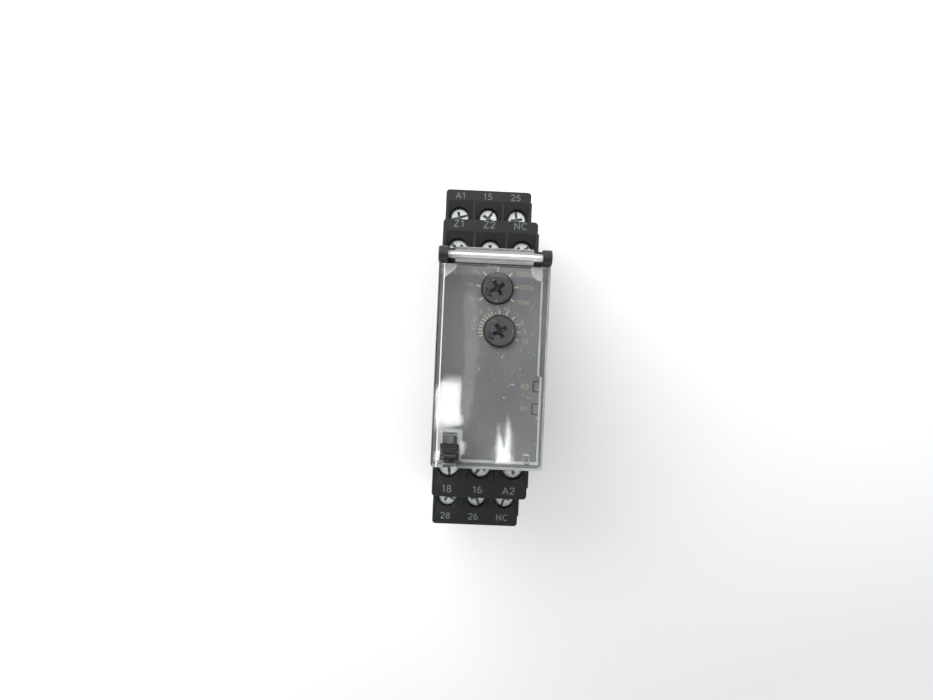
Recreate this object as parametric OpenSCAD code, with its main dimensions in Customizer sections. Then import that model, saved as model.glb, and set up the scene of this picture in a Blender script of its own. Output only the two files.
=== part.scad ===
// Modular time relay for a 35 mm rail, lying on its back: +Z out of the front, +Y to the top,
// X across the rail. The back plane is z = 0 and the middle of the rail is x = y = 0.

/* [Case] */
// Width across the rail
case_w = 22.5; // [22.5:0.1:22.8]
// Middle of the rail to each end
case_half = 43.7; // [43.7:0.1:44.1]
// Middle of the rail to the end of the upper terminal tier
tier2_half = 32.5; // [32.5:0.1:32.7]
// Height of the lower terminal tier
tier1_z = 52.2; // [52.2:0.1:52.6]
// Height of the upper terminal tier
tier2_z = 73; // [72.9:0.1:73.3]
// Height of the scale plate's face
face_z = 93.3; // [93.2:0.1:93.4]
// Upper end of the front section
front_top = 22.6; // [22.5:0.1:22.7]
// Lower end of the front section
front_bottom = -21.9; // [-22:0.1:-21.8]
// Thickness of the side walls
side_t = 0.8; // [0.7:0.05:0.8]
// Thickness of the end walls
end_t = 1.2; // [1:0.1:1.2]
// Radius of the case's upright corners
corner_r = 0.9; // [0.6:0.1:0.9]

/* [Rail] */
// Width of the rail groove
groove_w = 35.2; // [35.2:0.1:35.6]
// Depth of the groove's seat
seat_z = 4.9; // [4.8:0.1:5]
// Thickness of the gap that takes the rail's lip
lip_gap = 1.2; // [1.1:0.05:1.3]
// Reach of each hook behind the rail's lip
hook_reach = 1.5; // [1.2:0.1:1.6]
// Travel of the sliding foot
clip_travel = 3; // [2.5:0.1:3]

/* [Terminals] */
// Distance between neighbouring terminals
pitch = 7.5; // [7.45:0.05:7.5]
// Screw axis to the end face of its tier
screw_inset = 7; // [7:0.05:7.1]
// Radius of a screw's head
head_r = 2.45; // [2.3:0.05:2.5]
// Radius of a screw's shank
shank_r = 1.5; // [1.4:0.05:1.5]
// Depth of the screw's head below its tier
head_depth = 1.9; // [1.8:0.1:2]
// Rise of a clamp cage from open to closed
cage_travel = 3; // [2:0.1:3]

/* [Cover] */
// Width of the clear cover
cover_w = 22.4; // [22.3:0.1:22.4]
// Height of the cover's outer face
cover_z = 98.8; // [98.8:0.1:99]
// Lower end of the cover
cover_bottom = -21.6; // [-21.7:0.1:-21.5]
// Thickness of the cover's front
cover_t = 1.2; // [1:0.1:1.2]
// Thickness of the cover's walls
cover_wall = 1.1; // [1:0.05:1.1]
// Place of the hinge axis towards the top
hinge_y = 21.15; // [21.1:0.05:21.15]
// Height of the hinge axis
hinge_z = 97.8; // [97.75:0.05:97.85]
// Radius of the hinge barrel
barrel_r = 1.6; // [1.5:0.05:1.6]
// Radius of the hinge pins
pin_r = 0.8; // [0.7:0.05:0.8]

/* [Controls] */
// Radius of both knobs
knob_r = 3.25; // [3.1:0.05:3.25]
// Height of the knobs above the scale plate
knob_rise = 1.2; // [1:0.1:1.4]
// Travel of the cover's latch
latch_travel = 1.6; // [1.4:0.1:1.6]

/* [Hidden] */
$fn = 64;
eps = 0.05;
run = 0.05;                       // radial clearance of a running fit
half_w = case_w / 2;
inner_x = half_w - side_t;        // inner faces of the two side walls
strip_x = half_w - 0.3;           // side face of the case at its label strips
strip_l = 2.7;                    // length of a label strip
rib_t = 0.6;
slope = 1.3;                      // fall of a tier's floor towards the middle
groove_half = groove_w / 2;
hook_z = seat_z - lip_gap;
cavity_z = seat_z + 1.6;          // inner face of the back wall
plate_t = 1.2;                    // thickness of the scale plate
plate_top = 19.3;                 // upper end of the scale plate

// Heights of a terminal's parts, measured down from its tier
seat_d = head_depth + 1.9;        // underside of the screw's head
web_d = seat_d + 1.2;             // underside of the web below it
bar_d = web_d + 5.9;              // upper face of the contact bar
bar_t = 1;
throat = 4.5;                     // open height below the bar
cage_top_t = 1.8;
cage_floor_t = 1;
cage_top_d = bar_d - 0.2 - cage_top_t;
cage_floor_d = bar_d + bar_t + throat;
cage_low_d = cage_floor_d + cage_floor_t;
pocket_d = cage_low_d + 0.5;
cage_half_x = 2.85;
cage_half_y = 2.9;
cage_wall = 0.7;
pocket_half_x = cage_half_x + 0.1;
pocket_in = 3.35;                 // pocket's reach towards the middle
pocket_out = 3.2;                 // pocket's reach towards the end
hole_r = head_r + 0.2;

// Boards
board_x = -4.3;
board_t = 1.6;
parts_x = board_x + board_t;      // face that the parts stand on
front_board_z = 84.5;
bar_end = [30, 30, 27];         // how far in the bars of a lower tier reach, by column

// Controls: place of the two knobs and of the two light pipes
range_xy = [0.9, 15];
time_xy = [1.75, 6.2];
knob_top = face_z + knob_rise;
pipe_x = [9.2, 10.6];
pipe_y = [-9.6, -4.95];
pipe_l = 2.1;

// Latch
slot_x = [-8.9, -6.02];
slot_y = [-19.7, -15.1];
slide_x = [-8.82, -6.1];
flange_x = [-9.4, -5.6];
guide_x = [-10, -5];
hook_x = [-8.5, -6.4];

TERMINALS = [
    ["a1", 1, 1, -1], ["15", 1, 1, 0], ["25", 1, 1, 1],
    ["z1", 1, 2, -1], ["z2", 1, 2, 0], ["nc_top", 1, 2, 1],
    ["18", -1, 2, -1], ["16", -1, 2, 0], ["a2", -1, 2, 1],
    ["28", -1, 1, -1], ["26", -1, 1, 0], ["nc_bottom", -1, 1, 1]
];

function tier_half(t) = t[2] == 1 ? case_half : tier2_half;
function tier_top(t) = t[2] == 1 ? tier1_z : tier2_z;

// ---- Helpers ----

// A plate from x0 to x1 whose outline is drawn in y and z
module slab(x0, x1) translate([x0, 0, 0]) rotate([90, 0, 90]) linear_extrude(x1 - x0) children();

// A box between two corners
module box(a, b) translate(a) cube(b - a);

// A round bar along X
module bar_x(x0, x1, y, z, r) translate([x0, y, z]) rotate([0, 90, 0]) cylinder(h = x1 - x0, r = r);

// A rectangle between two corners with round corners
module round_rect(a, b, r) {
    translate([a[0] + r, a[1]]) square([b[0] - a[0] - 2 * r, b[1] - a[1]]);
    translate([a[0], a[1] + r]) square([b[0] - a[0], b[1] - a[1] - 2 * r]);
    for (x = [a[0] + r, b[0] - r], y = [a[1] + r, b[1] - r]) translate([x, y]) circle(r);
}

// What an upright round corner takes away; sx and sy point out of the solid
module corner_cut(x, y, sx, sy, z0, z1, r = corner_r) {
    translate([x, y, z0]) mirror([sx > 0 ? 0 : 1, 0, 0]) mirror([0, sy > 0 ? 0 : 1, 0])
        difference() {
            translate([-r, -r, 0]) cube([r + 1, r + 1, z1 - z0]);
            translate([-r, -r, -1]) cylinder(h = z1 - z0 + 2, r = r);
        }
}

// Children are drawn at a terminal: x = y = 0 on the screw axis, z = 0 at the tier's top,
// +y towards the end of the case
module at_terminal(t) {
    translate([t[3] * pitch, 0, 0]) mirror([0, t[1] > 0 ? 0 : 1, 0])
        translate([0, tier_half(t) - screw_inset, tier_top(t)]) children();
}

// ---- Case ----

// Side view of the case; cut shortens the two tiers
module case_outline(cut) {
    polygon([
        [-case_half + cut, 0], [case_half - cut, 0], [case_half - cut, tier1_z],
        [tier2_half - cut, tier1_z], [tier2_half - cut, tier2_z], [front_top, tier2_z],
        [front_top, face_z], [front_bottom, face_z], [front_bottom, tier2_z],
        [-tier2_half + cut, tier2_z], [-tier2_half + cut, tier1_z], [-case_half + cut, tier1_z]
    ]);
}

// Side view of the room inside the case
module cavity_outline() {
    low = case_half - end_t;
    mid = tier2_half - end_t;
    step1 = tier1_z - pocket_d - 1.4;
    step2 = tier2_z - pocket_d - 1.4;
    polygon([
        [-low, cavity_z], [low, cavity_z], [low, step1], [mid, step1], [mid, step2],
        [front_top - end_t, step2], [front_top - end_t, face_z + 1 - plate_t],
        [front_bottom + end_t, face_z + 1 - plate_t], [front_bottom + end_t, step2],
        [-mid, step2], [-mid, step1], [-low, step1]
    ]);
}

// Side view of the rail groove, with the fixed hook left standing at its upper edge
module groove_outline(hooked) {
    polygon(hooked
        ? [[-groove_half, -1], [groove_half - hook_reach + 0.6, -1],
           [groove_half - hook_reach, 1.4], [groove_half - hook_reach, hook_z],
           [groove_half, hook_z], [groove_half, seat_z], [-groove_half, seat_z]]
        : [[-groove_half, -1], [groove_half, -1], [groove_half, seat_z], [-groove_half, seat_z]]);
}

// Everything that one terminal takes out of the housing
module terminal_cut(t) {
    at_terminal(t) {
        translate([0, 0, -seat_d]) cylinder(h = seat_d + 1, r = hole_r);
        translate([0, 0, -web_d - eps]) cylinder(h = web_d - seat_d + 2 * eps, r = shank_r + 0.08);
        box([-pocket_half_x, -pocket_in, -pocket_d], [pocket_half_x, pocket_out, -web_d]);
        box([-2.6, 0, -cage_floor_d - 0.2], [2.6, screw_inset + 1, -bar_d - 0.4]);
        box([-2.85, screw_inset - 0.7, -cage_floor_d - 0.5], [2.85, screw_inset + 1, -bar_d - 0.1]);
        box([-1.9, -pocket_in - 3, -bar_d - bar_t - 0.1], [1.9, 0, -bar_d + 0.1]);
    }
}

// The sloping floors between the ribs of one tier, on one side
module tier_floor(t, inner_y) {
    lanes = [[-inner_x, -(pitch + rib_t) / 2], [-(pitch - rib_t) / 2, (pitch - rib_t) / 2],
             [(pitch + rib_t) / 2, half_w]];
    mirror([0, t[1] > 0 ? 0 : 1, 0])
        for (lane = lanes) slab(lane[0], lane[1]) polygon([
            [tier_half(t) - strip_l, tier_top(t)], [inner_y, tier_top(t) - slope],
            [inner_y, tier_top(t) + 1], [tier_half(t) - strip_l, tier_top(t) + 1]
        ]);
}

// One hinge lug, drawn for the left side, with its bore
module lug() {
    difference() {
        union() {
            slab(-half_w, -9.5) {
                translate([hinge_y, hinge_z]) circle(1.65);
                translate([hinge_y - 1.65, face_z]) square([front_top - hinge_y + 1.65, hinge_z - face_z]);
            }
            translate([-half_w - 0.15, hinge_y, hinge_z]) rotate([0, 90, 0])
                cylinder(h = 0.15, r1 = 1.4, r2 = 1.6);
        }
        bar_x(-half_w + 0.35, -9, hinge_y, hinge_z, pin_r + run);
    }
}

module housing() {
    color([0.13, 0.14, 0.15]) difference() {
        union() {
            difference() {
                slab(-half_w, inner_x) case_outline(0);
                slab(-inner_x, half_w) cavity_outline();
            }
            // The ends of the tiers reach past the edge of the side cover
            for (s = [-1, 1]) mirror([0, s > 0 ? 0 : 1, 0]) {
                box([inner_x, case_half - strip_l, 0], [strip_x, case_half, tier1_z]);
                box([inner_x, tier2_half - strip_l, tier1_z], [strip_x, tier2_half, tier2_z]);
            }
            lug();
            for (x = [-9.4, 8.1]) box([x, 19.9, face_z - 1], [x + 1.3, front_top, 96.3]);
        }
        slab(-half_w - 1, half_w) groove_outline(true);
        // Room for the scale plate
        box([-half_w - 1, front_bottom - 1, face_z - plate_t], [half_w, plate_top, face_z + 1]);
        for (t = TERMINALS) terminal_cut(t);
        for (t = [TERMINALS[0], TERMINALS[9]]) tier_floor(t, tier2_half);
        tier_floor(TERMINALS[3], front_top);
        tier_floor(TERMINALS[6], -front_bottom);
        // T-shaped channel for the sliding foot, open to the back and to the lower end
        box([-4.1, -case_half - 1, -1], [4.1, -groove_half + eps, 2.15]);
        box([-5.35, -case_half - 1, 2.1], [5.35, -groove_half + eps, hook_z + 0.1]);
        for (s = [-1, 1]) {
            corner_cut(-half_w, s * case_half, -1, s, -1, tier1_z + 1);
            corner_cut(-half_w, s * tier2_half, -1, s, tier1_z, tier2_z + 1);
            corner_cut(strip_x, s * case_half, 1, s, -1, tier1_z + 1);
            corner_cut(strip_x, s * tier2_half, 1, s, tier1_z, tier2_z + 1);
        }
    }
    // Post that the foot's spring bears on
    color([0.13, 0.14, 0.15]) box([-1, -38.6, 0.9], [1, -37.6, hook_z + 0.2]);
}

module side_cover() {
    color([0.13, 0.14, 0.15]) {
        difference() {
            slab(inner_x, half_w) case_outline(strip_l);
            slab(0, half_w + 1) groove_outline(false);
            box([0, front_bottom - 1, face_z - plate_t], [half_w + 1, plate_top, face_z + 1]);
        }
        mirror([1, 0, 0]) lug();
    }
}

module front_plate() {
    color([0.2, 0.21, 0.22]) {
        difference() {
            box([-half_w, front_bottom, face_z - plate_t], [half_w, plate_top, face_z]);
            for (p = [range_xy, time_xy])
                translate([p[0], p[1], face_z - 2]) cylinder(h = 3, r = knob_r + 0.08);
            for (y = pipe_y)
                box([pipe_x[0] - eps, y - pipe_l / 2 - eps, face_z - 2],
                    [pipe_x[1] + eps, y + pipe_l / 2 + eps, face_z + 1]);
            for (x = [-half_w, half_w])
                corner_cut(x, front_bottom, x, -1, face_z - 2, face_z + 1, 0.5);
        }
        // Keeper for the latch
        slab(-8.2, -6.7) polygon([
            [-15.6, face_z - 0.2], [-15.6, 96], [-17.9, 96], [-17.9, 95.6], [-17.6, 95.3],
            [-16.2, 95.3], [-16.2, face_z - 0.2]
        ]);
    }
}

// ---- Cover ----

module cover() {
    w = cover_w / 2;
    in = w - cover_wall;
    z0 = face_z + 0.1;
    under = cover_z - cover_t;
    color([0.8, 0.85, 0.88, 0.35]) difference() {
        union() {
            difference() {
                translate([0, 0, z0]) linear_extrude(cover_z - z0) union() {
                    round_rect([-w, cover_bottom], [w, 0], 0.8);
                    translate([-w, cover_bottom + 2]) square([2 * w, 19.2 - cover_bottom - 2]);
                }
                box([-in, cover_bottom + cover_wall, z0 - 1], [in, 30, under]);
                // The right wall is thinner beside the indicators
                slab(in - eps, w - 0.75) polygon([[cover_bottom + cover_wall, z0 - 1], [-3, z0 - 1],
                                                  [-2.7, under], [cover_bottom + cover_wall, under]]);
            }
            // The right wall is thicker above the indicators
            slab(in - 0.25, in + eps) polygon([[-2.7, z0], [19.2, z0], [19.2, under + eps],
                                               [-2.4, under + eps]]);
            // Hinge barrel, the web that carries it, and the two pins
            bar_x(-8, 7.65, hinge_y, hinge_z, barrel_r);
            box([-8, 18.9, 96.9], [7.65, hinge_y, 98.1]);
            bar_x(-10.75, 10.75, hinge_y, hinge_z, pin_r);
            // Corner webs beside the hinge
            translate([0, 0, 95.2]) linear_extrude(under - 95.2 + eps) {
                polygon([[-in - eps, 19.2], [-7.5, 19.2], [-7.95, 18.2], [-9.8, 16.6], [-in - eps, 16.1]]);
                polygon([[in + eps, 19.2], [7.45, 19.2], [7.8, 17.6], [8.85, 16.6], [in + eps, 16.6]]);
            }
            // Guides of the latch, and the rib at the lower right
            box([guide_x[0] - 0.2, slot_y[0] - 0.9, 95.2], [guide_x[0] + 0.5, -14, under + eps]);
            box([guide_x[1] - 0.5, slot_y[0] - 0.9, 95.2], [guide_x[1], -14.4, under + eps]);
            box([guide_x[0] - 0.2, -14.6, 95.2], [guide_x[1] - 0.4, -14, under + eps]);
            translate([guide_x[1] - 0.4, -14.4, 95.2]) cylinder(h = under - 95.2 + eps, r = 0.4);
            for (x = [guide_x[0] + 0.4, guide_x[1] - 1])
                box([x, slot_y[0] - 0.9, 95.2], [x + 0.6, -14.3, 95.9]);
            box([7.6, cover_bottom + 1, 95], [8.6, -18.7, under + eps]);
        }
        box([slot_x[0], slot_y[0], 97], [slot_x[1], slot_y[1], cover_z + 1]);
        // Notch for the latch's tail
        box([-8.75, cover_bottom - 1, z0 - 1], [-6.15, cover_bottom + cover_wall + 0.1, under]);
        translate([0, 0, under - 1]) linear_extrude(cover_t + 2)
            round_rect([-9, cover_bottom - 2], [-5.9, cover_bottom + 0.7], 0.5);
    }
}

module cover_latch() {
    color([0.1, 0.1, 0.11]) difference() {
        union() {
            box([slide_x[0], -19.6, 97.4], [slide_x[1], -17.25, 99.3]);
            box([flange_x[0], -20.35, 96.1], [flange_x[1], -17, 97.5]);
            box([hook_x[0], -20.35, 94.2], [hook_x[1], -19.65, 96.2]);
            box([hook_x[0], -21.5, 94.2], [hook_x[1], -18.2, 95.1]);
        }
        // Two grooves and a dish for the thumb
        for (y = [-17.55, -18.1]) bar_x(slide_x[0] - 1, slide_x[1] + 1, y, 99.36, 0.2);
        bar_x(slide_x[0] - 1, slide_x[1] + 1, -18.8, 99.9, 0.72);
    }
}

// ---- Controls ----

// A knob with its shaft; the arrow points to the lower left, at the start of its scale
module knob(p) {
    color([0.24, 0.25, 0.26]) translate([p[0], p[1], 0]) difference() {
        union() {
            translate([0, 0, face_z - plate_t - 0.9]) cylinder(h = 0.8, r = knob_r + 0.5);
            translate([0, 0, face_z - plate_t - 0.5])
                cylinder(h = knob_top - 0.3 - face_z + plate_t + 0.5, r = knob_r);
            translate([0, 0, knob_top - 0.3]) cylinder(h = 0.3, r1 = knob_r, r2 = knob_r - 0.25);
            translate([0, 0, 87.6]) cylinder(h = face_z - plate_t - 0.5 - 87.6, r = 1.5);
        }
        // Cross recess with a boss in its middle
        difference() {
            for (a = [30, 120]) rotate(a) box([-1.6, -0.42, knob_top - 0.9], [1.6, 0.42, knob_top + 1]);
            cylinder(h = knob_top - 0.3, r = 0.55);
        }
        // Outline of the arrow
        rotate(120) translate([0, 0, knob_top - 0.25]) linear_extrude(1) difference() {
            polygon([[-1.15, 1.85], [1.15, 1.85], [0, 2.9]]);
            polygon([[-0.6, 2.07], [0.6, 2.07], [0, 2.62]]);
        }
    }
}

module range_knob() knob(range_xy);

module time_knob() knob(time_xy);

// A square control on the front board with a bore for its knob's shaft
module control(p, h) {
    translate([p[0], p[1], front_board_z + board_t]) difference() {
        box([-4.2, -4.2, 0], [4.2, 4.2, h]);
        translate([0, 0, 0.9]) cylinder(h = h, r = 1.5 + run);
    }
}

module range_switch() color([0.08, 0.09, 0.1]) control(range_xy, 4.4);

module time_potentiometer() color([0.15, 0.25, 0.5]) control(time_xy, 4.2);

module light_pipe(y) {
    color([0.8, 0.82, 0.78, 0.6]) {
        box([pipe_x[0], y - pipe_l / 2, face_z - plate_t - eps], [pipe_x[1], y + pipe_l / 2, face_z]);
        box([8.2, y - 0.8, 87.2], [9.9, y + 0.8, face_z - plate_t]);
    }
}

module light_pipe_r1() light_pipe(pipe_y[0]);

module light_pipe_r2() light_pipe(pipe_y[1]);

module led(y) {
    color([0.9, 0.88, 0.6]) {
        box([8.4, y - 0.6, front_board_z + board_t], [9.7, y + 0.6, front_board_z + board_t + 0.4]);
        translate([9.05, y, front_board_z + board_t + 0.4]) cylinder(h = 0.45, r = 0.5);
    }
}

module led_r1() led(pipe_y[0]);

module led_r2() led(pipe_y[1]);

// ---- Electronics ----

module front_board() {
    color([0.1, 0.35, 0.2])
        box([-10, front_bottom + end_t + 0.3, front_board_z], [10, front_top - end_t - 0.3,
            front_board_z + board_t]);
}

module main_board() {
    low = 30.4;
    high = 18.8;
    color([0.1, 0.35, 0.2]) slab(board_x, parts_x) polygon([
        [-low, 8], [low, 8], [low, tier1_z - 5], [high, tier1_z - 5], [high, 82],
        [-high, 82], [-high, tier1_z - 5], [-low, tier1_z - 5]
    ]);
}

module board_link() {
    color([0.1, 0.1, 0.1]) box([parts_x, -8, 78], [parts_x + 2.5, 8, front_board_z]);
}

// A relay 28.5 mm long that stands on the main board
module relay(y) {
    color([0.85, 0.83, 0.75]) box([parts_x, y, 8.5], [parts_x + 12.3, y + 10.1, 37]);
}

module relay_1() relay(-13);

module relay_2() relay(3);

module supply_capacitor() {
    color([0.15, 0.2, 0.3]) {
        bar_x(parts_x + 0.5, parts_x + 12, 0, 52, 5);
        bar_x(parts_x, parts_x + 0.5, 0, 52, 4.4);
    }
}

module film_capacitor() color([0.75, 0.6, 0.15]) box([parts_x, -12, 62], [parts_x + 11, 1, 68.5]);

module choke() {
    color([0.12, 0.12, 0.12]) {
        bar_x(parts_x, parts_x + 1.2, 10, 66, 4);
        bar_x(parts_x + 1.2, parts_x + 7.8, 10, 66, 3);
        bar_x(parts_x + 7.8, parts_x + 9, 10, 66, 4);
    }
}

module controller() color([0.06, 0.06, 0.07]) box([parts_x, -6, 70.5], [parts_x + 1.4, 0, 76.5]);

// Each bar runs from its clamp to the face or the edge of the main board
module contact_bars() {
    color([0.78, 0.78, 0.74]) for (t = TERMINALS) {
        half = tier_half(t);
        top = tier_top(t) - bar_d;
        reach = bar_end[t[3] + 1] - case_half + half;
        target = t[3] < 0 ? board_x : parts_x;
        x = t[3] * pitch;
        mirror([0, t[1] > 0 ? 0 : 1, 0]) {
            box([x - 1.8, reach - 2, top - bar_t], [x + 1.8, half - screw_inset + 2.7, top]);
            box([min(x, target), reach - 2, top - bar_t], [max(x, target), reach, top]);
        }
    }
}

// ---- Terminals ----

// The head's cross is turned to a different angle in each terminal
module terminal_screw(t) {
    i = search([t[0]], TERMINALS, 1)[0];
    color([0.8, 0.82, 0.8]) at_terminal(t) rotate(17 + i * 41) difference() {
        union() {
            translate([0, 0, -seat_d]) cylinder(h = 1.55, r = head_r);
            translate([0, 0, -seat_d + 1.55]) cylinder(h = 0.35, r1 = head_r, r2 = head_r - 0.35);
            translate([0, 0, -bar_d + eps]) cylinder(h = bar_d - seat_d, r = shank_r);
        }
        for (a = [0, 90]) rotate(a)
            box([-1.5, -0.36, -head_depth - 1.1], [1.5, 0.36, -head_depth + 1]);
        box([-head_r - 1, -0.3, -head_depth - 0.6], [head_r + 1, 0.3, -head_depth + 1]);
    }
}

module clamp_cage(t) {
    color([0.75, 0.74, 0.66]) at_terminal(t) difference() {
        box([-cage_half_x, -cage_half_y, -cage_low_d], [cage_half_x, cage_half_y, -cage_top_d]);
        box([-cage_half_x + cage_wall, -cage_half_y - 1, -cage_floor_d],
            [cage_half_x - cage_wall, cage_half_y + 1, -cage_top_d - cage_top_t]);
        translate([0, 0, -cage_top_d - cage_top_t - 1]) cylinder(h = cage_top_t + 2, r = shank_r + run);
    }
}

// ---- Rail foot ----

module din_clip() {
    tip = -groove_half + hook_reach;
    end = -case_half + 0.4;
    color([0.16, 0.17, 0.18]) difference() {
        union() {
            box([-5.25, end, 2.2], [5.25, tip, hook_z]);
            box([-4, end, 0.4], [4, -groove_half - 0.2, 2.3]);
        }
        // Lead-in that the rail pushes on
        slab(-6, 6) polygon([[tip + 1, 1], [tip - 1.2, 1], [tip - 1.2, 2.2], [tip, hook_z - 0.4],
                             [tip + 1, hook_z - 0.4]]);
        box([-1.9, -38.7, -1], [1.9, -24, hook_z + 1]);
        // Slot for the screwdriver that pulls the foot
        box([-2, end + 1.2, -1], [2, end + 2.8, hook_z + 1]);
    }
}

// Point and ring of the spring at fraction u of its length
function coil_point(u, a) = let (turn = 360 * 8 * u, r = 1.15 + 0.22 * cos(a))
    [r * cos(turn), -37.5 + 13.3 * u, 2.35 + r * sin(turn)] + [0, 0.22 * sin(a), 0];

module clip_spring() {
    rings = 79;
    sides = 8;
    points = [for (k = [0 : rings], s = [0 : sides - 1]) coil_point(k / rings, 360 * s / sides)];
    walls = [for (k = [0 : rings - 1], s = [0 : sides - 1], half = [0, 1])
        let (n = (s + 1) % sides, a = k * sides, b = a + sides)
        half == 0 ? [a + s, a + n, b + n] : [a + s, b + n, b + s]];
    first = [for (s = [sides - 1 : -1 : 0]) s];
    last = [for (s = [0 : sides - 1]) rings * sides + s];
    color([0.7, 0.7, 0.72]) polyhedron(points, concat([first, last], walls));
}

// ---- Assembly ----

housing();
side_cover();
front_plate();
cover();
cover_latch();
range_knob();
time_knob();
range_switch();
time_potentiometer();
front_board();
light_pipe_r1();
light_pipe_r2();
led_r1();
led_r2();
main_board();
board_link();
relay_1();
relay_2();
supply_capacitor();
film_capacitor();
choke();
controller();
contact_bars();
din_clip();
clip_spring();
for (t = TERMINALS) {
    terminal_screw(t);
    clamp_cage(t);
}
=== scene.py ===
"""Looks of a modular time relay that lies on its back on a pale table."""
import math

import bmesh
import bpy
from mathutils import Matrix, Vector


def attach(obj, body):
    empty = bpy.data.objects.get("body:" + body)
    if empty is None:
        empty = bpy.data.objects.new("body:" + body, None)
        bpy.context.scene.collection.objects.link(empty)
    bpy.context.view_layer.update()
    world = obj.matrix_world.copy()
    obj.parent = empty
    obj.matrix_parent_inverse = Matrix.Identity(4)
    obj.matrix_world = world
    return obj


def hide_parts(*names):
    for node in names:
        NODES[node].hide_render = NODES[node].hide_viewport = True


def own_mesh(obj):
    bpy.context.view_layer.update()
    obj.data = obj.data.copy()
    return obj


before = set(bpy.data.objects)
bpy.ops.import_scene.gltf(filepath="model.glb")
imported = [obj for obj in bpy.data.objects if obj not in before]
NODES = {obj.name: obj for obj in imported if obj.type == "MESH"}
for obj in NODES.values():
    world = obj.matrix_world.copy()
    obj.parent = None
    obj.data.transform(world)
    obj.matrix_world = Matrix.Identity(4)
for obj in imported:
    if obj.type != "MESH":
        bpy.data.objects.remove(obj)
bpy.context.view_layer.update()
MM = 0.001

FACE = 93.3        # face of the scale plate
COVER = 98.8       # outer face of the cover
TIER_1 = 52.2      # lower terminal tier
TIER_2 = 73.0      # upper terminal tier
RANGE_DIAL = (0.9, 15.0)
TIME_DIAL = (1.75, 6.2)
PIPE_Y = {"R1": -9.6, "R2": -4.95}
PIPE_X = (9.2, 10.6)
PIPE_LENGTH = 2.1
SKY = 1.08         # brightness of the room
HEAD_DROP = 1.9    # from a tier down to its screw heads
DRIVE_DEPTH = 1.4  # from a screw head down to the middle of its drive
DRIVE_SHADE_HALF = 0.95  # half the height of the painted shade in a screw drive
FLAT_ABOVE = 12    # degrees between the faces of a rounded edge, shaded flat above this
BEVEL_ABOVE = 35   # degrees; sharper edges are rounded
INK = 0.03         # thickness of printed ink
INK_SEAT = 0.005   # from a face up to the middle of its ink


# ---------- materials ----------

class Graph:
    """The nodes of one material, each added and linked in one call."""

    def __init__(self, name):
        self.material = bpy.data.materials.new(name)
        self.material.use_nodes = True
        self.tree = self.material.node_tree
        self.tree.nodes.clear()
        self.output = self.add("ShaderNodeOutputMaterial")
        self.place = self.add("ShaderNodeTexCoord").outputs["Object"]

    def add(self, kind, inputs=None, **settings):
        node = self.tree.nodes.new(kind)
        for key, value in settings.items():
            setattr(node, key, value)
        for key, value in (inputs or {}).items():
            if isinstance(value, bpy.types.NodeSocket):
                self.tree.links.new(value, node.inputs[key])
            else:
                node.inputs[key].default_value = value
        return node

    def noise(self, scale, detail=2.0, rough=0.5, place=None):
        """Noise from 0 to 1; scale is in waves per metre."""
        return self.add("ShaderNodeTexNoise", {
            "Vector": place or self.place, "Scale": scale, "Detail": detail,
            "Roughness": rough}).outputs["Fac"]

    def turned(self, degrees=(0, 0, 0), stretch=(1, 1, 1), shift=(0, 0, 0)):
        """The place, turned about the three axes and then stretched."""
        first = self.add("ShaderNodeMapping", {
            "Vector": self.place, "Rotation": [math.radians(a) for a in degrees],
            "Location": shift})
        return self.add("ShaderNodeMapping", {
            "Vector": first.outputs[0], "Scale": stretch}).outputs[0]

    def remap(self, value, low, high, to_low=0.0, to_high=1.0):
        return self.add("ShaderNodeMapRange", {
            0: value, 1: low, 2: high, 3: to_low, 4: to_high}).outputs[0]

    def height(self):
        """Height in the part's own frame, in metres."""
        return self.add("ShaderNodeSeparateXYZ", {0: self.place}).outputs["Z"]

    def math(self, operation, a, b=0.0):
        return self.add("ShaderNodeMath", {0: a, 1: b}, operation=operation).outputs[0]

    def near(self, value, middle, half):
        """1 where value, in metres, lies within half of middle, both in millimetres."""
        inside = self.math("COMPARE", value, middle * MM)
        inside.node.inputs[2].default_value = half * MM
        return inside

    def blend(self, share, a, b):
        """Colour a where share is 0 and colour b where it is 1."""
        node = self.add("ShaderNodeMix", {0: share, 6: a, 7: b}, data_type="RGBA")
        return node.outputs[2]

    def round_edges(self, radius):
        """(normal rounded at the edges, mask that is 1 along the edges)"""
        soft = self.add("ShaderNodeBevel", {"Radius": radius}, samples=4).outputs[0]
        flat = self.add("ShaderNodeNewGeometry").outputs["Normal"]
        same = self.add("ShaderNodeVectorMath", {0: soft, 1: flat}, operation="DOT_PRODUCT")
        return soft, self.remap(same.outputs["Value"], 0.985, 0.86)

    def bump(self, height, strength, depth, normal=None):
        inputs = {"Height": height, "Strength": strength, "Distance": depth}
        if normal:
            inputs["Normal"] = normal
        return self.add("ShaderNodeBump", inputs).outputs[0]

    def finish(self, inputs):
        shader = self.add("ShaderNodeBsdfPrincipled", inputs)
        self.tree.links.new(shader.outputs[0], self.output.inputs[0])
        return self.material


def grey(value):
    return (value, value, value, 1)


def tint(colour, factor):
    return (*[min(1.0, c * factor) for c in colour], 1)


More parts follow.
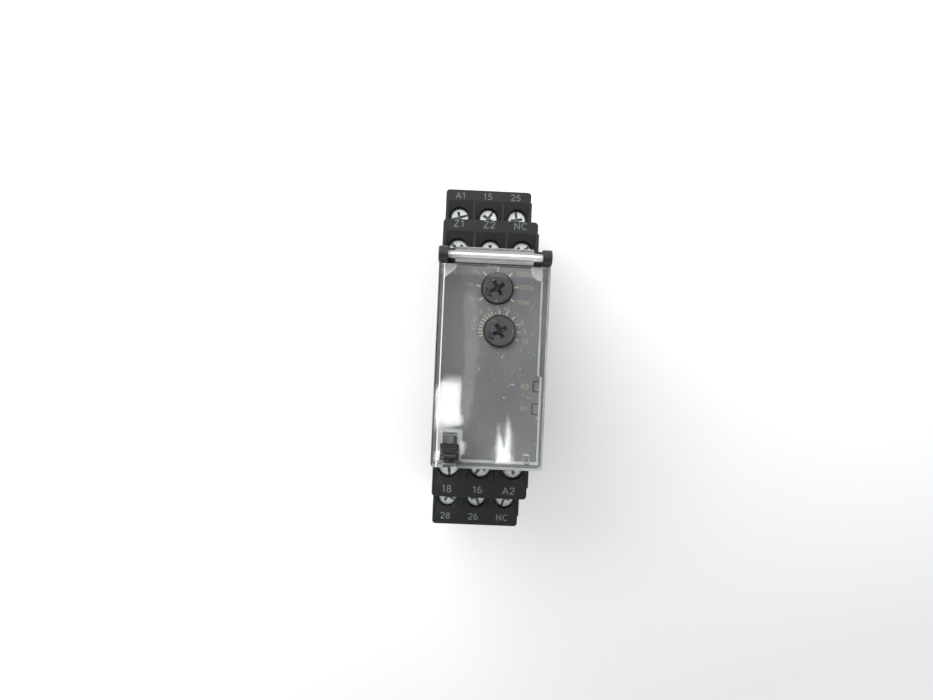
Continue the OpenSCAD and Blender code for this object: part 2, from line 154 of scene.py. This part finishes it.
def moulded(name, colour, rough, grain=0.25, wear=0.35, dust=0.5, shade_below=None):
    """Injection-moulded plastic: eroded grain, uneven gloss, worn edges and a little dust.

    Under the recess height given last, the colour is nearly black: painted shade in the recess.
    """
    g = Graph(name)
    soft, edges = g.round_edges(0.18 * MM)
    broad = g.noise(120, 4)
    cloud = g.noise(900, 3, 0.6)
    fine = g.noise(9000, 2, 0.6)
    body = g.blend(g.remap(broad, 0.3, 0.7), tint(colour, 0.88), tint(colour, 1.14))
    body = g.blend(g.math("MULTIPLY", g.remap(fine, 0.45, 0.75), 0.25), body, tint(colour, 1.5))
    rubbed = g.math("MULTIPLY", edges, g.remap(g.noise(700, 3), 0.35, 0.65, 0.2 * wear, wear))
    body = g.blend(rubbed, body, tint([c + 0.03 for c in colour], 1.9))
    specks = g.math("MULTIPLY", g.remap(g.noise(3600, 1), 0.73, 0.78), 0.35 * dust)
    body = g.blend(specks, body, (0.45, 0.44, 0.42, 1))
    # Painted shade: under the recess height the colour is darkened nearly to black.
    if shade_below:
        body = g.blend(g.math("LESS_THAN", g.height(), shade_below), body, tint(colour, 0.12))
    gloss = g.math("ADD", g.remap(cloud, 0.3, 0.7, rough - 0.06, rough + 0.08),
                   g.remap(fine, 0.3, 0.7, -0.03, 0.03))
    normal = g.bump(fine, grain, 0.00003, g.bump(cloud, 0.12, 0.0001, soft))
    return g.finish({"Base Color": body, "Roughness": gloss, "Normal": normal})


def plated(name, colour, rough, patina, grain=0.3, metal=1.0, heads=()):
    """Zinc or tin plate: a crystalline skin, scuffs, and a faint coloured passivation.

    heads holds the heights of screw heads, whose drives are painted dark: painted shade inside the
    terminal holes.
    """
    g = Graph(name)
    soft, edges = g.round_edges(0.12 * MM)
    crystals = g.add("ShaderNodeTexVoronoi", {"Vector": g.place, "Scale": 4200.0}).outputs["Color"]
    shade = g.add("ShaderNodeSeparateColor", {0: crystals}).outputs[0]
    cloud = g.noise(650, 3, 0.6)
    scuffs = g.noise(1, 3, 0.7, g.turned((0, 0, 35), (900, 9000, 900)))
    body = g.blend(g.remap(shade, 0.0, 1.0, 0.0, 0.6), tint(colour, 1.05), tint(colour, 0.86))
    body = g.blend(g.remap(cloud, 0.42, 0.68, 0.0, 0.55), body, (*patina, 1))
    body = g.blend(g.math("MULTIPLY", edges, 0.5), body, tint(colour, 1.2))
    # Painted shade: each drive, and the sides of the head round it, are darkened greenish black.
    for top in heads:
        drive_shade = g.near(g.height(), top - DRIVE_DEPTH, DRIVE_SHADE_HALF)
        body = g.blend(g.math("MULTIPLY", drive_shade, g.remap(cloud, 0.3, 0.6, 0.6, 1.0)), body,
                       (0.10, 0.15, 0.12, 1))
    gloss = g.math("ADD", g.remap(scuffs, 0.3, 0.7, rough - 0.07, rough + 0.09),
                   g.remap(shade, 0.0, 1.0, -0.04, 0.04))
    height = g.math("ADD", g.math("MULTIPLY", scuffs, 0.7), g.math("MULTIPLY", cloud, 0.6))
    normal = g.bump(height, grain, 0.00004, soft)
    return g.finish({"Base Color": body, "Roughness": gloss, "Normal": normal, "Metallic": metal})


def printed(name, colour, worn=0.35):
    """Pad-printed ink that has gone thin in places."""
    g = Graph(name)
    grains = g.noise(5200, 3, 0.7)
    cloud = g.noise(800, 2)
    thin = g.math("MULTIPLY", g.remap(grains, 0.42, 0.66), g.remap(cloud, 0.3, 0.7, 0.3, 1.0))
    body = g.blend(g.math("MULTIPLY", thin, worn), (*colour, 1), tint(colour, 0.3))
    return g.finish({"Base Color": body, "Roughness": g.remap(grains, 0.3, 0.7, 0.42, 0.62),
                     "Normal": g.bump(grains, 0.2, 0.00002)})


def scratches(g, degrees, width, seed):
    """Short straight scratches that lie near one direction in the XY plane."""
    along = g.turned((0, 0, degrees), (40, 2600, 60), (seed, seed * 0.7, 0))
    line = g.math("ABSOLUTE", g.math("SUBTRACT", g.noise(1, 0, 0.4, along), 0.5))
    hit = g.remap(line, width, 0.0)
    cells = g.turned((0, 0, degrees), (330, 900, 330), (seed * 1.7, 0, 0))
    gate = g.remap(g.noise(1, 1, 0.5, cells), 0.69, 0.73)
    return g.math("MULTIPLY", hit, gate)


def clear(name, colour, rough, ior, marks=1.0, wall_sheen=0.0, milky=0.0, painted_bands=()):
    """Clear moulded plastic with fine scratches and specks; light passes it on its way in.

    milky is how cloudy the plastic is. Upright faces get a further amount of the same diffuse grey,
    a painted highlight for light refracted along the sides.
    The last argument holds (axis, middle, half width, tone, share) of flat diffuse strips: painted
    highlights where the tone is light, painted shade where it is dark.
    """
    g = Graph(name)
    wave = g.noise(130, 2)
    fine = g.noise(6000, 2)
    lines = scratches(g, 8, 0.006, 0.3)
    for degrees, width, seed in ((-62, 0.005, 0.9), (84, 0.006, 2.2)):
        lines = g.math("MAXIMUM", lines, scratches(g, degrees, width, seed))
    dots = g.remap(g.noise(2600, 1), 0.765, 0.79)
    flaws = g.math("MULTIPLY", g.math("MAXIMUM", lines, dots), marks)
    gloss = g.math("ADD", g.remap(fine, 0.3, 0.7, rough * 0.7, rough * 1.4),
                   g.math("MULTIPLY", flaws, 0.5))
    marked = g.math("SUBTRACT", g.math("MULTIPLY", fine, 0.01), g.math("MULTIPLY", flaws, 0.15))
    height = g.math("ADD", g.math("MULTIPLY", wave, 0.7), marked)
    normal = g.bump(height, 0.5, 0.00004)
    skin = g.add("ShaderNodeBsdfPrincipled", {
        "Base Color": (*colour, 1), "Roughness": gloss, "Normal": normal,
        "Transmission Weight": 1.0, "IOR": ior})
    haze_and_sheen = g.add("ShaderNodeBsdfDiffuse", {"Color": grey(0.75), "Normal": normal})
    upright = g.math("SUBTRACT", 1.0, g.math("ABSOLUTE", g.add("ShaderNodeSeparateXYZ", {
        0: g.add("ShaderNodeTexCoord").outputs["Normal"]}).outputs["Z"]))
    # Cloudiness from milky, plus on upright faces a painted sheen that stands for light refracted
    # along the sides.
    milk_and_wall_sheen = g.math("MULTIPLY", g.remap(upright, 0.80, 0.95, milky, milky + wall_sheen),
                  g.remap(wave, 0.3, 0.7, 0.7, 1.3))
    hazed_and_painted = g.add("ShaderNodeMixShader", {
        0: g.math("ADD", g.math("MULTIPLY", flaws, 0.4), milk_and_wall_sheen), 1: skin.outputs[0],
        2: haze_and_sheen.outputs[0]})
    axes = g.add("ShaderNodeSeparateXYZ", {0: g.place}).outputs
    # Painted light: each strip lays a flat diffuse tone over the plastic, light for a painted
    # highlight, dark for painted shade.
    for axis, middle, half, tone, share in painted_bands:
        inside = g.near(axes[axis], middle, half)
        painted_strip = g.add("ShaderNodeBsdfDiffuse", {"Color": grey(tone), "Normal": normal})
        hazed_and_painted = g.add("ShaderNodeMixShader", {
            0: g.math("MULTIPLY", inside, g.remap(wave, 0.3, 0.7, 0.8 * share, share)),
            1: hazed_and_painted.outputs[0], 2: painted_strip.outputs[0]})
    light = g.add("ShaderNodeLightPath").outputs["Is Shadow Ray"]
    through = g.add("ShaderNodeBsdfTransparent", {"Color": (0.86, 0.88, 0.88, 1)})
    both = g.add("ShaderNodeMixShader", {0: light, 1: hazed_and_painted.outputs[0], 2: through.outputs[0]})
    g.tree.links.new(both.outputs[0], g.output.inputs[0])
    return g.material


def board(name):
    """Green solder mask over copper tracks."""
    g = Graph(name)
    tracks = g.add("ShaderNodeTexBrick", {
        "Vector": g.turned((0, 90, 0), (1, 1, 1)), "Scale": 160.0, "Mortar Size": 0.03,
        "Color1": grey(0.0), "Color2": grey(0.15), "Mortar": grey(1.0)}).outputs["Fac"]
    fine = g.noise(2600, 2)
    body = g.blend(tracks, (0.012, 0.11, 0.045, 1), (0.03, 0.2, 0.08, 1))
    body = g.blend(g.remap(fine, 0.4, 0.7, 0, 0.3), body, (0.02, 0.14, 0.06, 1))
    return g.finish({"Base Color": body, "Roughness": g.remap(fine, 0.3, 0.7, 0.25, 0.4),
                     "Normal": g.bump(tracks, 0.3, 0.00004)})


CASE = moulded("case", (0.0075, 0.0083, 0.0092), 0.44, grain=0.35, wear=0.3, dust=0.4)
PANEL = moulded("panel", (0.160, 0.159, 0.162), 0.55, grain=0.3, wear=0.1, dust=0.3)
LATCH = moulded("latch", (0.010, 0.011, 0.013), 0.25, grain=0.1, wear=0.3, dust=0.6)
# Painted shade on the knob where it lies within 1.13 mm of the panel face.
KNOB = moulded("knob", (0.060, 0.061, 0.058), 0.34, grain=0.5, wear=0.5, shade_below=(FACE + 1.13) * MM)
FOOT = moulded("foot", (0.012, 0.013, 0.014), 0.45, grain=0.3)
SWITCH = moulded("switch", (0.02, 0.02, 0.021), 0.4)
POTENTIOMETER = moulded("potentiometer", (0.03, 0.09, 0.34), 0.35)
RELAY = moulded("relay", (0.62, 0.59, 0.48), 0.3, grain=0.1, wear=0.1)
SLEEVE = moulded("sleeve", (0.025, 0.035, 0.09), 0.25, grain=0.05)
FILM = moulded("film_box", (0.62, 0.42, 0.05), 0.3, grain=0.1, wear=0.1)
FERRITE = moulded("ferrite", (0.035, 0.034, 0.034), 0.6, grain=0.6)
LED = moulded("led_lens", (0.75, 0.68, 0.40), 0.2, grain=0.05, wear=0.0)
SCREW = plated("zinc_screw", (0.88, 0.91, 0.87), 0.3, (0.66, 0.80, 0.68), metal=0.45,
               heads=(TIER_1 - HEAD_DROP, TIER_2 - HEAD_DROP))
CAGE = plated("zinc_cage", (0.68, 0.69, 0.66), 0.36, (0.6, 0.62, 0.45))
TINNED = plated("tinned_brass", (0.76, 0.74, 0.67), 0.33, (0.7, 0.62, 0.42))
SPRING = plated("spring_wire", (0.52, 0.53, 0.56), 0.24, (0.4, 0.38, 0.36), grain=0.15)
# Painted light on the cover: upright faces painted lighter, a bright line round the sides at one
# height, a dark outer and a bright inner line at the left rim, painted shade beside the hinge
# barrel and a painted highlight along it.
COVER_CLEAR = clear("clear_cover", (0.96, 0.965, 0.97), 0.03, 1.5, wall_sheen=0.5,
                    painted_bands=(("Z", 95.2, 0.1, 0.9, 0.6), ("X", -11.0, 0.13, 0.04, 0.5),
                           ("X", -10.08, 0.11, 0.95, 0.6), ("Y", 19.85, 0.6, 0.05, 0.7),
                           ("Y", 21.55, 0.55, 0.5, 0.45), ("Y", 21.25, 0.22, 0.95, 0.8)))
PIPE_CLEAR = clear("light_pipe", (0.70, 0.71, 0.68), 0.16, 1.49, marks=0.4, milky=0.25)
BOARD = board("circuit_board")
INK_WHITE = printed("ink_grey", (0.145, 0.165, 0.17), 0.3)
INK_GOLD = printed("ink_gold", (0.34, 0.33, 0.23), 0.5)
INK_TICK = printed("ink_tick", (0.52, 0.52, 0.38), 0.4)
INK_DARK = printed("ink_dark", (0.022, 0.022, 0.024), 0.3)

PAINT = {
    "housing": CASE, "side_cover": CASE, "front_plate": PANEL, "cover": COVER_CLEAR,
    "cover_latch": LATCH, "range_knob": KNOB, "time_knob": KNOB, "range_switch": SWITCH,
    "time_potentiometer": POTENTIOMETER, "front_board": BOARD, "main_board": BOARD,
    "light_pipe_r1": PIPE_CLEAR, "light_pipe_r2": PIPE_CLEAR, "led_r1": LED, "led_r2": LED,
    "board_link": SWITCH, "relay_1": RELAY, "relay_2": RELAY, "supply_capacitor": SLEEVE,
    "film_capacitor": FILM, "choke": FERRITE, "controller": SWITCH, "contact_bars": TINNED,
    "din_clip": FOOT, "clip_spring": SPRING,
}
for name, node in NODES.items():
    material = PAINT.get(name) or (SCREW if name.startswith("terminal_screw") else CAGE)
    node.data.materials.clear()
    node.data.materials.append(material)


# ---------- pieces ----------

def link(obj):
    bpy.context.scene.collection.objects.link(obj)
    return obj


def place(obj, body, slot=None, *replaced):
    """obj rides on a body and stands for CAD nodes; slot is not used."""
    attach(obj, body)
    if replaced:
        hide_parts(*replaced)
    return obj


def smooth(mesh, degrees=30):
    """Smooth shading, with sharp edges where faces meet at more than this angle."""
    mesh.shade_smooth()
    mesh.set_sharp_from_angle(angle=math.radians(degrees))


def evaluated(name, data, prepare=None):
    """The mesh that a curve or a mesh becomes with what prepare adds to its object."""
    temp = link(bpy.data.objects.new(name, data))
    if prepare:
        prepare(temp)
    bpy.context.view_layer.update()
    graph = bpy.context.evaluated_depsgraph_get()
    mesh = bpy.data.meshes.new_from_object(temp.evaluated_get(graph))
    bpy.data.objects.remove(temp)
    return mesh


def spring():
    """The coil behind the sliding foot, of round wire with closed ends."""
    turns, steps, sides = 8, 40, 14
    radius, wire, start, length = 1.15, 0.22, -37.5, 13.3
    bm = bmesh.new()
    rings = []
    for k in range(turns * steps + 1):
        angle = 2 * math.pi * k / steps
        middle = Vector((radius * math.cos(angle), start + length * k / (turns * steps),
                         2.35 + radius * math.sin(angle)))
        out = Vector((math.cos(angle), 0, math.sin(angle)))
        ring = []
        for s in range(sides):
            a = 2 * math.pi * s / sides
            ring.append(bm.verts.new((middle + out * wire * math.cos(a)
                                      + Vector((0, 1, 0)) * wire * math.sin(a)) * MM))
        rings.append(ring)
    for a, b in zip(rings, rings[1:]):
        for s in range(sides):
            bm.faces.new((a[s], a[(s + 1) % sides], b[(s + 1) % sides], b[s]))
    bm.faces.new(rings[0][::-1])
    bm.faces.new(rings[-1])
    bmesh.ops.recalc_face_normals(bm, faces=bm.faces)
    mesh = bpy.data.meshes.new("coil_spring")
    bm.to_mesh(mesh)
    bm.free()
    smooth(mesh, 50)
    mesh.materials.append(SPRING)
    obj = place(link(bpy.data.objects.new("coil_spring", mesh)), "case", "spring_steel",
                "clip_spring")
    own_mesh(obj)


def arc(x, y, rx, ry, start, end):
    """Points on an ellipse between two angles in degrees, counted from +X towards +Y."""
    steps = max(4, int(abs(end - start) / 18))
    return [(x + rx * math.cos(math.radians(start + (end - start) * k / steps)),
             y + ry * math.sin(math.radians(start + (end - start) * k / steps)))
            for k in range(steps + 1)]


# Width and strokes of each character, for a cap height of 1
GLYPHS = {
    "0": (0.56, [arc(0.28, 0.5, 0.23, 0.45, 90, 450)]),
    "1": (0.42, [[(0.07, 0.76), (0.27, 0.95), (0.27, 0.0)]]),
    "2": (0.56, [arc(0.28, 0.7, 0.23, 0.25, 170, -35) + [(0.05, 0.05), (0.53, 0.05)]]),
    "3": (0.56, [arc(0.27, 0.73, 0.2, 0.22, 155, -90) + arc(0.27, 0.28, 0.23, 0.23, 90, -160)]),
    "4": (0.56, [[(0.42, 0.0), (0.42, 0.95), (0.04, 0.3), (0.55, 0.3)]]),
    "5": (0.56, [[(0.49, 0.94), (0.15, 0.94), (0.09, 0.5)]
                 + arc(0.27, 0.32, 0.23, 0.27, 130, -150)]),
    "6": (0.56, [arc(0.29, 0.3, 0.22, 0.26, 0, 360), arc(0.38, 0.42, 0.32, 0.53, 175, 88)]),
    "7": (0.54, [[(0.05, 0.94), (0.5, 0.94), (0.2, 0.0)]]),
    "8": (0.56, [arc(0.28, 0.72, 0.18, 0.22, 90, 450), arc(0.28, 0.27, 0.22, 0.24, 90, 450)]),
    "9": (0.56, [arc(0.27, 0.68, 0.22, 0.26, 0, 360), arc(0.18, 0.55, 0.31, 0.53, -5, -92)]),
    "A": (0.66, [[(0.02, 0.0), (0.33, 0.97), (0.64, 0.0)], [(0.13, 0.33), (0.53, 0.33)]]),
    "C": (0.7, [arc(0.37, 0.5, 0.31, 0.45, 48, 312)]),
    "N": (0.7, [[(0.07, 0.0), (0.07, 0.95), (0.6, 0.05), (0.6, 1.0)]]),
    "R": (0.66, [[(0.07, 0.0), (0.07, 0.94)] + arc(0.36, 0.71, 0.2, 0.23, 90, -90) + [(0.07, 0.48)],
                 [(0.36, 0.48), (0.6, 0.0)]]),
    "Z": (0.62, [[(0.06, 0.95), (0.56, 0.95), (0.05, 0.05), (0.59, 0.05)]]),
    "m": (0.74, [[(0.07, 0.0), (0.07, 0.68)],
                 [(0.07, 0.5)] + arc(0.21, 0.5, 0.14, 0.18, 180, 0) + [(0.35, 0.0)],
                 [(0.35, 0.5)] + arc(0.49, 0.5, 0.14, 0.18, 180, 0) + [(0.63, 0.0)]]),
    "s": (0.5, [arc(0.24, 0.52, 0.17, 0.15, 30, 265) + arc(0.24, 0.2, 0.19, 0.17, 85, -150)]),
}


def straight_parts(path):
    """The path cut at its sharp corners, so that the pen is lifted there."""
    parts = [[path[0]]]
    for a, b, c in zip(path, path[1:], path[2:]):
        parts[-1].append(b)
        if (Vector(b) - Vector(a)).angle(Vector(c) - Vector(b), 0) > 0.9:
            parts.append([b])
    parts[-1].append(path[-1])
    return parts


def lettering(name, lines, material, slot, stroke=0.14, wide=1.28, gap=0.14):
    """Raised ink characters; lines holds (text, x, y, z, height) in millimetres."""
    curve = bpy.data.curves.new(name, "CURVE")
    curve.dimensions = "3D"
    curve.use_fill_caps = True
    curve.bevel_resolution = 1
    curve.bevel_depth = 1
    for text, x, y, z, height in lines:
        pen = x - height * (wide * sum(GLYPHS[c][0] for c in text) + gap * (len(text) - 1)) / 2
        for c in text:
            width, paths = GLYPHS[c]
            for path in [part for whole in paths for part in straight_parts(whole)]:
                spline = curve.splines.new("POLY")
                spline.points.add(len(path) - 1)
                for point, (px, py) in zip(spline.points, path):
                    across, up = pen + wide * px * height, y + (py - 0.5) * height
                    point.co = (across * MM, up * MM, z * MM, 1)
                    point.radius = stroke * height / 2 * MM
            pen += height * (wide * width + gap)
    mesh = evaluated(name, curve)
    levels = sorted({line[3] * MM for line in lines})
    for v in mesh.vertices:
        level = min(levels, key=lambda z: abs(z - v.co.z))
        v.co.z = level + max(-1.0, min(1.0, (v.co.z - level) / (0.04 * MM))) * INK / 2 * MM
    mesh.materials.clear()
    mesh.materials.append(material)
    mesh.name = name
    smooth(mesh, 60)
    return place(link(bpy.data.objects.new(name, mesh)), "case", slot)


def strokes(name, bars, material, slot):
    """Thin raised bars; bars holds (x, y, z, length, width, degrees) in millimetres."""
    bm = bmesh.new()
    for x, y, z, length, width, degrees in bars:
        turn = Matrix.Translation((x, y, z)) @ Matrix.Rotation(math.radians(degrees), 4, "Z")
        outline = []
        for sx, sy in ((-1, -1), (1, -1), (1, 1), (-1, 1)):
            cx, cy = sx * (width / 2 - 0.04), sy * (length / 2 - 0.04)
            for k in range(4):
                a = math.atan2(sy, sx) - math.pi / 4 + k * math.pi / 6
                outline.append(turn @ Vector((cx + 0.04 * math.cos(a), cy + 0.04 * math.sin(a),
                                              INK / 2)))
        top = bm.faces.new([bm.verts.new(v * MM) for v in outline])
        made = bmesh.ops.extrude_face_region(bm, geom=[top])["geom"]
        moved = [v for v in made if isinstance(v, bmesh.types.BMVert)]
        bmesh.ops.translate(bm, verts=moved, vec=(0, 0, -INK * MM))
    bmesh.ops.recalc_face_normals(bm, faces=bm.faces)
    mesh = bpy.data.meshes.new(name)
    bm.to_mesh(mesh)
    bm.free()
    mesh.materials.append(material)
    return place(link(bpy.data.objects.new(name, mesh)), "case", slot)


def around(centre, radius, degrees):
    """The point at this angle, clockwise from the top."""
    a = math.radians(degrees)
    return centre[0] + radius * math.sin(a), centre[1] + radius * math.cos(a)


def terminal_marks():
    rows = [(42.2, TIER_1, (("A1", -7.5), ("15", -0.4), ("25", 6.9))),
            (31.45, TIER_2, (("Z1", -7.6), ("Z2", -0.5), ("NC", 6.9))),
            (-30.6, TIER_2, (("18", -7.8), ("16", -0.6), ("A2", 6.7))),
            (-41.55, TIER_1, (("28", -7.9), ("26", -0.65), ("NC", 7.0)))]
    lines = [(text, x, y, z + INK_SEAT, 1.65) for y, z, marks in rows for text, x in marks]
    lettering("terminal_marks", lines, INK_WHITE, "case_plastic")


def scale_marks():
    z = FACE + INK_SEAT
    spots = [("1s", -5.2, -2.4), ("3s", -5.5, 0.6), ("10s", -4.7, 3.2), ("30s", -1.5, 4.6),
             ("100s", 5.4, 3.2), ("300s", 6.0, 0.5), ("10m", 5.5, -2.6)]
    lines = [(text, RANGE_DIAL[0] + x, RANGE_DIAL[1] + y, z, 0.95) for text, x, y in spots]
    spots = [(-5.7, 0.5), (-5.2, 2.3), (-4.1, 3.9), (-2.4, 4.5), (-0.5, 4.95), (1.7, 4.5),
             (3.5, 3.4), (4.6, 2.0), (5.2, 0.15), (5.3, -1.8)]
    lines += [(str(i + 1), TIME_DIAL[0] + x, TIME_DIAL[1] + y, z, 0.95)
              for i, (x, y) in enumerate(spots)]
    lines += [(text, 7.5, y, z, 0.95) for text, y in PIPE_Y.items()]
    lettering("scale_numbers", lines, INK_GOLD, "panel_plastic", stroke=0.19)
    bars = []
    for i in range(7):
        degrees = -126 + 42 * i
        x, y = around(RANGE_DIAL, 3.95, degrees)
        bars.append((x, y, z, 1.0, 0.36, -degrees))
    for degrees in [-106 + 10 * k for k in range(9)] + [-2.5 + 23.3 * k for k in range(6)]:
        x, y = around(TIME_DIAL, 3.95, degrees)
        bars.append((x, y, z, 0.85, 0.26, -degrees))
    strokes("scale_ticks", bars, INK_TICK, "panel_plastic")
    left, right = PIPE_X
    for label, y in PIPE_Y.items():
        bars = [(x, y, z, PIPE_LENGTH + 0.2, 0.2, 0) for x in PIPE_X]
        bars += [((left + right) / 2, y + side * PIPE_LENGTH / 2, z, right - left - 0.2, 0.2, 90)
                 for side in (-1, 1)]
        strokes("window_outline_" + label.lower(), bars, INK_DARK, "panel_plastic")


def polished(name, width, body, slot, segments=2):
    """The CAD node's shape with rounded edges, which stands for it."""
    bm = bmesh.new()
    bm.from_mesh(NODES[name].data)
    bmesh.ops.remove_doubles(bm, verts=bm.verts, dist=1e-6)
    bmesh.ops.dissolve_limit(bm, angle_limit=math.radians(0.5), verts=bm.verts, edges=bm.edges)
    mesh = bpy.data.meshes.new(name)
    bm.to_mesh(mesh)
    bm.free()

    def bevelled(obj):
        bevel = obj.modifiers.new("round", "BEVEL")
        bevel.width = width * MM
        bevel.segments = segments
        bevel.limit_method = "ANGLE"
        bevel.angle_limit = math.radians(BEVEL_ABOVE)
        bevel.use_clamp_overlap = True
        bevel.miter_outer = "MITER_ARC"

    done = evaluated(name, mesh, bevelled)
    smooth(done, FLAT_ABOVE)
    done.materials.clear()
    done.materials.append(PAINT.get(name) or SCREW)
    obj = bpy.data.objects.new(name + "_shape", done)
    return place(link(obj), body, slot, name)


spring()
terminal_marks()
scale_marks()
polished("cover", 0.28, "cover", "clear_cover", segments=3)
polished("cover_latch", 0.08, "latch", "latch_plastic")
polished("range_knob", 0.06, "range_dial", "knob_plastic")
polished("time_knob", 0.06, "time_dial", "knob_plastic")


# ---------- stage ----------

def floor():
    g = Graph("table_top")
    broad = g.noise(2.2, 3)
    fine = g.noise(1500, 2)
    axes = g.add("ShaderNodeSeparateXYZ", {0: g.place}).outputs
    # Painted shadow: the table grows darker towards the near right, a soft shadow painted into its
    # colour.
    near = g.math("SUBTRACT", g.math("MULTIPLY", axes["X"], 0.35),
                  g.math("MULTIPLY", axes["Y"], 0.9))
    body = g.blend(g.remap(broad, 0.3, 0.7), (0.88, 0.882, 0.885, 1), (0.86, 0.862, 0.866, 1))
    body = g.blend(g.remap(near, 0.0, 0.13), body, (0.60, 0.60, 0.61, 1))
    material = g.finish({"Base Color": body, "Roughness": g.remap(broad, 0.3, 0.7, 0.5, 0.6),
                         "Normal": g.bump(fine, 0.05, 0.00005)})
    bm = bmesh.new()
    bmesh.ops.create_grid(bm, x_segments=8, y_segments=8, size=3)
    mesh = bpy.data.meshes.new("table_top")
    bm.to_mesh(mesh)
    bm.free()
    mesh.materials.append(material)
    obj = link(bpy.data.objects.new("table_top", mesh))
    obj.location.z = -0.0001


def sky():
    """A plain white room."""
    world = bpy.data.worlds.new("soft_sky")
    bpy.context.scene.world = world
    world.use_nodes = True
    back = world.node_tree.nodes["Background"]
    back.inputs[0].default_value = (1.0, 1.0, 1.0, 1)
    back.inputs[1].default_value = SKY


def card(name, outline, height, glow, patchy=0.0, fade=0.0):
    """A flat card that only shows in reflections.

    outline holds the corners of its reflection on the cover, in millimetres.
    fade is the share of its length over which each end grows dark.
    """
    g = Graph(name)
    tone = g.remap(g.noise(9, 3), 0.35, 0.65, 1.0 - patchy, 1.0)
    if fade:
        along = g.add("ShaderNodeSeparateXYZ", {
            0: g.add("ShaderNodeTexCoord").outputs["Generated"]}).outputs["Y"]
        end = g.math("MINIMUM", along, g.math("SUBTRACT", 1.0, along))
        tone = g.math("MULTIPLY", tone, g.remap(end, 0.0, fade, 0.02, 1.0))
    emit = g.add("ShaderNodeEmission", {"Strength": g.math("MULTIPLY", tone, glow)})
    g.tree.links.new(emit.outputs[0], g.output.inputs[0])
    eye = bpy.context.scene.camera.matrix_world.translation
    reach = 1 + (height - COVER * MM) / (eye.z - COVER * MM)
    bm = bmesh.new()
    bm.faces.new([bm.verts.new((eye.x + (x * MM - eye.x) * reach,
                                eye.y + (y * MM - eye.y) * reach, height)) for x, y in outline])
    mesh = bpy.data.meshes.new(name)
    bm.to_mesh(mesh)
    bm.free()
    mesh.materials.append(g.material)
    obj = link(bpy.data.objects.new(name, mesh))
    obj.visible_camera = obj.visible_diffuse = obj.visible_shadow = False


def lamp(name, at, aim, size, power):
    """A soft rectangular lamp; at and aim are in metres."""
    data = bpy.data.lights.new(name, "AREA")
    data.shape = "RECTANGLE"
    data.size, data.size_y = size
    data.energy = power
    obj = link(bpy.data.objects.new(name, data))
    obj.location = at
    obj.rotation_euler = (Vector(aim) - Vector(at)).to_track_quat("-Z", "Y").to_euler()
    obj.visible_camera = False


def camera():
    """Straight above the front of the object, as in the photograph, turned by a few degrees."""
    turn = (Matrix.Rotation(0.0037, 3, "X") @ Matrix.Rotation(0.0158, 3, "Y")
            @ Matrix.Rotation(-0.0441, 3, "Z"))
    back = turn.transposed()
    data = bpy.data.cameras.new("camera")
    data.sensor_width = 36
    data.lens = 29.09
    data.clip_start, data.clip_end = 0.01, 100
    obj = link(bpy.data.objects.new("camera", data))
    spot = back @ Vector((-3.3152, 1.8949, 249.4629)) * MM
    obj.matrix_world = Matrix.Translation(spot) @ back.to_4x4()
    bpy.context.scene.camera = obj


floor()
sky()
camera()
lamp("key", (-0.55, 0.55, 0.70), (0, 0, 0.05), (1.1, 0.9), 9.0)
# The photographer's dark sleeve above the near end
card("sleeve_dark", [(-60, 17), (60, 17), (75, -150), (-75, -150)], 0.60, 0.06)
# Window light on the lower left and lower middle of the cover
for name, outline, glow, patchy, fade in (
        ("window_left", [(-10.6, -6.5), (-9.6, -4.2), (-8.0, -3.2), (-5.8, -3.1), (-5.4, -13.0),
                         (-10.6, -14.4)], 14.0, 0.3, 0.22),
        ("window_latch_1", [(-10.8, -19.9), (-9.2, -17.7), (-9.3, -19.1), (-10.0, -20.7)],
         12.0, 0.3, 0.0),
        ("window_latch_2", [(-5.3, -16.5), (-4.7, -16.4), (-4.3, -19.0), (-5.0, -18.7)],
         12.0, 0.3, 0.0),
        ("window_spike_1", [(1.7, -20.2), (2.2, -13.2), (3.9, -20.2)], 13.0, 0.0, 0.0),
        ("window_spike_2", [(2.9, -20.2), (4.3, -11.0), (5.0, -20.2)], 13.0, 0.0, 0.0),
        ("window_band", [(-6.0, 13.4), (-3.6, 14.4), (-2.8, 4.1), (-2.8, -3.8), (-4.0, -12.0),
                         (-4.9, -14.0)], 1.2, 0.4, 0.0)):
    card(name, outline, 0.50, glow, patchy, fade)
bpy.context.scene.view_settings.view_transform = "Standard"
